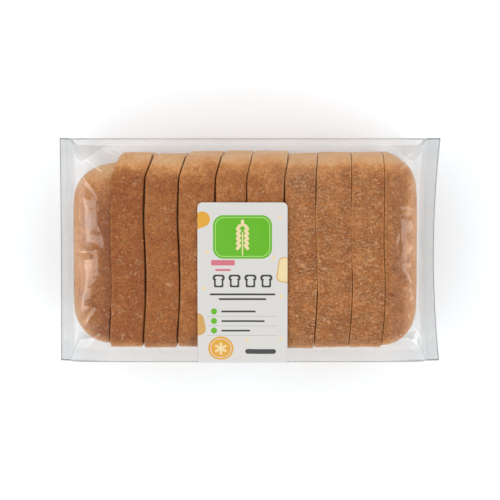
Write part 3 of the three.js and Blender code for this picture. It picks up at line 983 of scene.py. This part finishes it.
def bread_material():
    made, tree, shader = material("bread", Specular_IOR_Level=0.25)
    place = object_place(tree)
    tone, depth = stored(tree, "tone"), stored(tree, "depth")
    broad, middling, fine = cloud(place, BROAD), cloud(place, MIDDLING), cloud(place, FINE)
    wrinkle_ridge_and_highlight = wrinkle_highlight_lines(place, tone, broad)
    uneven = plus(ramp(broad, 0, 1, -0.12, 0.12), ramp(fine, 0, 1, -0.15, 0.15))
    uneven = plus(uneven, ramp(middling, 0, 1, -0.13, 0.13))
    baked = plus(tone, maths("SUBTRACT", uneven, times(wrinkle_ridge_and_highlight, 0.12)))
    colour = blend(ramp(baked, 0.0, 0.45), CRUST_PALE, CRUST_GOLD)
    colour = blend(ramp(baked, 0.4, 0.9), colour, CRUST_BROWN)
    colour = blend(ramp(baked, 0.92, 1.25), colour, CRUST_DARK)
    # Pale specks: partly raised blisters, partly painted glints.
    blisters, pinpricks = spots(place, 0.0019, 0.27, 0.2), spots(place, 0.0012, 0.4, 0.12)
    pale = maths("MAXIMUM", times(blisters, 0.6), times(pinpricks, 0.45))
    pale = times(pale, ramp(middling, 0.3, 0.8, 0.25, 1.2))
    colour = blend(times(pale, ramp(tone, 0.4, 0.9)), colour, BLISTER_AND_GLINT)
    # Painted highlight along the wrinkles.
    colour = blend(times(wrinkle_ridge_and_highlight, 0.62), colour, WRINKLE_HIGHLIGHT)
    grain = times(ramp(cloud(place, GRAIN, 2.0), 0, 1, -0.28, 0.28), ramp(tone, 0.3, 0.85, 0.3, 1.0))
    colour = add(tree, "ShaderNodeHueSaturation", {"Color": colour, "Value": plus(grain, 1.0)}).outputs[0]
    pores = spots(place, 0.0016, 0.42, 0.6)
    inside = ramp(plus(depth, ramp(fine, 0, 1, -0.25, 0.25)), CRUMB_FROM, CRUMB_TO)
    height = plus(ripple(place, 1100.0, 3.0), times(blisters, 0.5), times(wrinkle_ridge_and_highlight, 0.8))
    height = maths("SUBTRACT", height, times(pores, inside))
    feed(shader, Base_Color=blend(inside, colour, blend(pores, CRUMB, PORE)))
    feed(shader, Roughness=ramp(inside, 0, 1, 0.55, 0.9), Normal=bump(height, 0.9, 0.0004))
    return made


bread = bread_material()
for piece in slices:
    dress(piece, bread)

# %% [markdown]
# Clear film shows itself by what it mirrors. Seen square on it lets nearly all light through, and edge on it is
# almost a mirror. Where it hangs free of the bread it is a little milky too. So the part of it that doesn't let
# light through is half mirror, half pale diffuse, and how much of that there is, its alpha, grows with the
# Fresnel term. It is milkiest on the crimped seals, where two sheets are pressed into ribs. Painted shade turns
# slack film and the seals grey and the edges near black, and over the heels and one spot on the far shoulder
# the film is hazier, partly a painted highlight.

# %% The film
FILM_TINT = (0.78, 0.80, 0.83)
# Painted shade: grey for slack film and the seals.
FILM_SHADE_GREY = (0.36, 0.37, 0.38)
# Painted shade: near black for the film's edges and the cut ends of its seals.
FILM_EDGE_SHADE = (0.12, 0.12, 0.125)


def film_material():
    made, tree, shader = material("clear_film", Roughness=0.07)
    place = object_place(tree)
    grazing = add(tree, "ShaderNodeFresnel", {"IOR": 1.45}).outputs[0]
    streaks = stretch(place, 1.0, 0.25, 1.0)
    seal, edge, rim, slack, heel = (stored(tree, name) for name in ("seal", "edge", "rim", "slack", "heel"))
    milk = plus(ramp(cloud(streaks, 0.012, 2.0), 0, 1, 0.0, 0.015), ramp(seal, 0, 1, 0.03, 0.105))
    milk = times(milk, ramp(maths("MAXIMUM", slack, heel, seal), 0, 0.2, 0.25, 1.0))
    # Painted shade: the film's edges and cut ends are dark, and its slack parts and seals grey and duller.
    edge_shade, dull_and_shade = maths("MAXIMUM", edge, rim), maths("MAXIMUM", slack, seal)
    mirror = times(ramp(edge_shade, 0, 1, 0.8, 0.0), ramp(dull_and_shade, 0, 1, 1.0, 0.3))
    sheen = times(ramp(grazing, 0.03, 0.6, 0.0, 0.14), ramp(dull_and_shade, 0, 1, 1.0, 0.4))
    along_sheet = times(edge, ramp(grazing, 0.06, 0.35, 0.0, 0.45))
    # The heel's share makes the film hazier over the heels and one shoulder spot, partly a painted highlight.
    alpha = plus(sheen, milk, times(slack, 0.125), times(heel, 0.035), along_sheet)
    height = plus(ripple(place, 90.0), times(ripple(streaks, 420.0), 0.25))
    feed(shader, Base_Color=blend(edge_shade, blend(dull_and_shade, FILM_TINT, FILM_SHADE_GREY), FILM_EDGE_SHADE), Metallic=mirror)
    feed(shader, Specular_IOR_Level=ramp(edge_shade, 0, 1, 0.5, 0.0), Roughness=ramp(seal, 0, 1, 0.07, 0.3))
    feed(shader, Alpha=maths("ADD", alpha, times(rim, 0.3), clamp=True), Normal=bump(height, 0.25, 0.0009))
    return made


dress(film, film_material())

# %% [markdown]
# The label's ground is off-white and satin. Its print is a plain generic design in flat inks: a green badge
# with an ear of wheat, a row of little slices, ruled lines, and a warm disc. Each ink is a rounded box in the
# label's own millimetres, since a rounded box can be a bar, a pill, a disc or an outline. One node group works
# out the distance to such a box.

# %% The rounded box group
INK_EDGE = 0.06  # half the width in millimetres over which an ink's edge fades


def vector_maths(operation, first, second=(0.0, 0.0, 0.0)):
    return add(first.id_data, "ShaderNodeVectorMath", {0: first, 1: second}, operation=operation).outputs[0]


def round_box_group():
    """Masks of a rounded box and of its outline. Distance is the usual one to a box drawn in by its radius."""
    vectors, floats = ("Place", "Middle", "Half Size"), ("Radius", "Turn", "Line")
    inputs = dict.fromkeys(vectors, "Vector") | dict.fromkeys(floats, "Float")
    tree, given, result = group_tree("round_box", inputs, {"Fill": "Float", "Outline": "Float"})
    moved = vector_maths("SUBTRACT", given["Place"], given["Middle"])
    values = {"Vector": moved, "Angle": given["Turn"]}
    turned = add(tree, "ShaderNodeVectorRotate", values, rotation_type="Z_AXIS").outputs[0]
    over = vector_maths("SUBTRACT", vector_maths("ABSOLUTE", turned), given["Half Size"])
    parts = add(tree, "ShaderNodeSeparateXYZ", {0: over}).outputs
    x, y = (plus(parts[axis], given["Radius"]) for axis in (0, 1))
    squares = plus(*(maths("POWER", maths("MAXIMUM", side, 0.0), 2.0) for side in (x, y)))
    inner = maths("MINIMUM", maths("MAXIMUM", x, y), 0.0)
    distance = maths("SUBTRACT", plus(maths("SQRT", squares), inner), given["Radius"])
    ring = maths("SUBTRACT", maths("ABSOLUTE", distance), times(given["Line"], 0.5))
    fill(result["Fill"], ramp(distance, INK_EDGE, -INK_EDGE))
    fill(result["Outline"], ramp(ring, INK_EDGE, -INK_EDGE))
    return tree


round_box = round_box_group()

# %% [markdown]
# The shapes of the print are a few motifs made of such boxes. X runs across the label from its middle and Y
# down it from its back edge, both in millimetres.

# %% The label's inks and motifs
PAPER = (0.545, 0.535, 0.52)
INK = (0.035, 0.035, 0.04)
GREEN = (0.095, 0.36, 0.008)
PALE_GREEN = (0.33, 0.55, 0.16)
CREAM = (0.66, 0.53, 0.30)
TAN = (0.50, 0.29, 0.09)
AMBER = (0.58, 0.29, 0.025)
ROSE = (0.50, 0.13, 0.17)
GREY = (0.32, 0.33, 0.34)
SIGN_LINE = 0.8  # outline of the little slices


def box(ink, x, y, half_x, half_y, radius, turn=0.0, line=0.0):
    """An ink and its box: middle, half size, corner radius, turn, and the width of its line if it is one."""
    return ink, (x, y, 0.0), (half_x, half_y, 0.0), radius, turn, line


def disc(ink, x, y, radius, line=0.0):
    return box(ink, x, y, radius, radius, radius, 0.0, line)


def bar(ink, x, y, half_x, half_y=0.4, radius=0.4):
    return box(ink, x, y, half_x, half_y, radius)


def ear_of_wheat(x, y):
    """A stalk and grains in pairs up it, each leaning out."""
    shapes = [box(CREAM, x, y + 2.6, 0.28, 5.2, 0.28)]
    for step in range(5):
        for side in (-1, 1):
            shapes.append(box(CREAM, x + side * 1.75, y - 4.6 + step * 2.15, 0.72, 1.55, 0.72, side * 0.6))
    return shapes + [box(CREAM, x, y - 6.6, 0.72, 1.5, 0.72)]


def slice_sign(x, y, size):
    """A slice of bread: a rounded square with a wider rounded top, in ink, and the same in paper inside it."""
    shapes = []
    for ink, inset, top_radius in ((INK, 0.0, 0.45), (PAPER, SIGN_LINE, 0.4)):
        shapes.append(box(ink, x, y + 0.25 * size, 0.72 * size - inset, 0.75 * size - inset, 0.2 * size))
        shapes.append(box(ink, x, y - 0.45 * size, 0.92 * size - inset, 0.5 * size - inset, top_radius * size))
    return shapes


# %% [markdown]
# The layout is a list of these shapes in the order of printing. What lies past the front fold, from about 75 mm
# on, is on the side of the pack.

# %% The label's layout
SIGN_PITCH = 7.0
DOTS = ((-15.5, 22.0), (16.6, 6.5), (13.8, 24.6), (17.0, 41.5), (-17.0, 38.0), (17.0, 60.5), (2.0, 61.0))


def label_layout():
    """Every ink shape, in the order of printing."""
    shapes = [box(AMBER, -19.4, 8.0, 5.2, 3.4, 3.4, 0.35), box(CREAM, 20.2, 30.0, 4.6, 5.4, 2.2, -0.15)]
    shapes += [box(TAN, 20.2, 30.0, 4.6, 5.4, 2.2, -0.15, 0.45), box(TAN, -20.2, 54.0, 3.6, 5.0, 3.0, 0.2)]
    shapes += [box(GREEN, 0.0, 15.2, 13.0, 9.6, 4.6), box(PALE_GREEN, 0.0, 15.2, 12.0, 8.6, 3.8, 0.0, 0.35)]
    shapes += ear_of_wheat(0.0, 15.6)
    shapes += [bar(ROSE, -8.6, 26.6, 5.2, 1.2), bar(ROSE, -8.6, 29.8, 3.4, 0.45, 0.2)]
    for column in range(4):
        shapes += slice_sign((column - 1.5) * SIGN_PITCH, 34.6, 2.9)
    shapes += [bar(INK, 0.0, 40.6, 14.5, 0.42), bar(INK, 0.0, 42.7, 10.5, 0.42)]
    for row, half in enumerate((7.6, 9.6, 6.4)):
        y = 48.2 + 4.3 * row
        shapes += [disc(GREEN, -12.6, y, 1.35), bar(INK, -9.4 + half, y, half)]
        shapes.append(bar(GREY, 0.0, y + 2.15, 15.6, 0.1, 0.1))
    shapes += [disc(AMBER, -9.6, 65.0, 5.6), disc(PAPER, -9.6, 65.0, 4.5, 0.3)]
    shapes += [box(CREAM, -9.6, 65.0, 0.55, 2.9, 0.5, spoke * math.pi / 3) for spoke in range(3)]
    shapes.append(bar(INK, 8.0, 66.4, 6.8, 1.15, 1.1))
    shapes += [disc(CREAM, x, y, 0.8) for x, y in DOTS]
    shapes.append(bar(GREEN, 0.0, 84.0, LABEL_WIDTH / 2, 1.3, 0.1))
    return shapes + [bar(INK, 0.0, 90.0, 12.0), bar(INK, 0.0, 92.6, 14.0), bar(INK, 0.0, 95.2, 9.0)]


layout = label_layout()
print("label inks:", len(layout))

# %% [markdown]
# The material lays the shapes over the paper one by one, each with its own mask, as a press lays down its inks.
# Paper and fibre are a faint mottle and a faint bump.

# %% The label
PAPER_SHADE = (0.515, 0.505, 0.49)


def label_material(shapes):
    made, tree, shader = material("label_print", Roughness=0.42)
    sheet = add(tree, "ShaderNodeUVMap", uv_map="print").outputs[0]
    place = object_place(tree)
    cloudy = cloud(place, 0.01)
    colour = blend(ramp(cloudy, 0, 1, 0.0, 0.35), PAPER, PAPER_SHADE)
    for ink, middle, half_size, radius, turn, line in shapes:
        masks = use(round_box, sheet, Middle=middle, Half_Size=half_size, Radius=radius, Turn=turn, Line=line)
        colour = blend(masks["Outline" if line else "Fill"], colour, ink)
    feed(shader, Base_Color=colour, Roughness=ramp(cloudy, 0, 1, 0.36, 0.48))
    feed(shader, Normal=bump(ripple(place, 900.0), 0.15, 0.0001))
    return made


dress(label_piece, label_material(layout))

# %% [markdown]
# Each piece rides on the one body and stands for the solid that it replaces. The film and the slices together
# are what the wrapped loaf's solid stood for.

# %% Ride and replace
for piece, slot in ((film, "film"), (label_piece, "label"), *((piece, "bread") for piece in slices)):
    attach(piece, "root")
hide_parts("film_bag")
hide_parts("label")

# %% [markdown]
# The pack lies on a pale floor, as in a catalogue picture. The floor's paint is never quite even either.

# %% The floor
FLOOR_HALF = 1.2
FLOOR_LOW, FLOOR_HIGH = (0.895, 0.94, 0.98), (0.905, 0.95, 0.99)
bpy.ops.mesh.primitive_plane_add(size=2 * FLOOR_HALF, location=(0, 0, 0))
floor = bpy.context.object
floor.name = "floor"
floor_paint, floor_tree, floor_shader = material("floor_paint", Roughness=0.85)
feed(floor_shader, Base_Color=blend(cloud(object_place(floor_tree), 0.25, 2.0), FLOOR_LOW, FLOOR_HIGH))
dress(floor, floor_paint)

# %% [markdown]
# Soft light comes from all round. The ceiling round the camera is dim, because the flat film mirrors it. Two
# long softboxes beside the camera are what shows as glare on the film.

# %% The light
SKY_LIGHT, ZENITH_LIGHT = 1.27, 0.12
ZENITH_FROM, ZENITH_TO = 0.86, 0.95  # where the sky dims, as the upward part of its direction
scene = bpy.context.scene
scene.view_settings.view_transform = "Standard"
scene.world = bpy.data.worlds.new("studio")
scene.world.use_nodes = True
backdrop = scene.world.node_tree.nodes["Background"]
backdrop.inputs["Color"].default_value = (1, 1, 1, 1)
sky = scene.world.node_tree
direction = add(sky, "ShaderNodeTexCoord").outputs["Generated"]
upward = add(sky, "ShaderNodeSeparateXYZ", {0: direction}).outputs["Z"]
fill(backdrop.inputs["Strength"], ramp(upward, ZENITH_FROM, ZENITH_TO, SKY_LIGHT, ZENITH_LIGHT))

LOAF_MIDDLE = (0, 0, 0.03)
WARM = (1.0, 0.96, 0.86)


def softbox(name, place, size, power, colour=(1, 1, 1)):
    """A rectangular area light at `place`, turned towards the loaf's middle."""
    lamp = bpy.data.lights.new(name, "AREA")
    lamp.shape = "RECTANGLE"
    lamp.size, lamp.size_y = size
    lamp.energy, lamp.color = power, colour
    lit = bpy.data.objects.new(name, lamp)
    bpy.context.collection.objects.link(lit)
    lit.location = place
    lit.rotation_euler = (Vector(place) - Vector(LOAF_MIDDLE)).to_track_quat("Z", "Y").to_euler()


softbox("key", (-0.8, 0.1, 0.8), (0.6, 0.6), 1.2)
softbox("back", (0.1, 0.95, 0.8), (0.9, 0.4), 1.0)
softbox("fill", (0.85, -0.5, 0.8), (0.35, 0.35), 1.8)
softbox("strip_left", (-0.5, -0.066, 0.98), (0.19, 0.58), 1.15, WARM)
softbox("strip_right", (0.5, -0.084, 0.98), (0.08, 0.5), 0.4, WARM)

# %% [markdown]
# The camera looks almost straight down, tipped a few degrees so that it sees the far long side, through a long
# lens. Its lens and its aim come from where the pack's corners lie in the picture.

# %% The camera
CAMERA_DISTANCE = 1.1
CAMERA_TIP = math.radians(4.5)
PICTURE_SCALE = 2353.9  # picture pixels per metre of width, at a metre's distance
PICTURE_SIDE = 500
AIM_Y = -0.00403
camera = bpy.data.objects.new("camera", bpy.data.cameras.new("camera"))
bpy.context.collection.objects.link(camera)
camera.data.sensor_width = 36.0
camera.data.lens = camera.data.sensor_width * PICTURE_SCALE / PICTURE_SIDE
camera.location = (0, AIM_Y + CAMERA_DISTANCE * math.sin(CAMERA_TIP), CAMERA_DISTANCE * math.cos(CAMERA_TIP))
camera.rotation_euler = (-CAMERA_TIP, 0, 0)
camera.data.clip_end = 10
scene.camera = camera
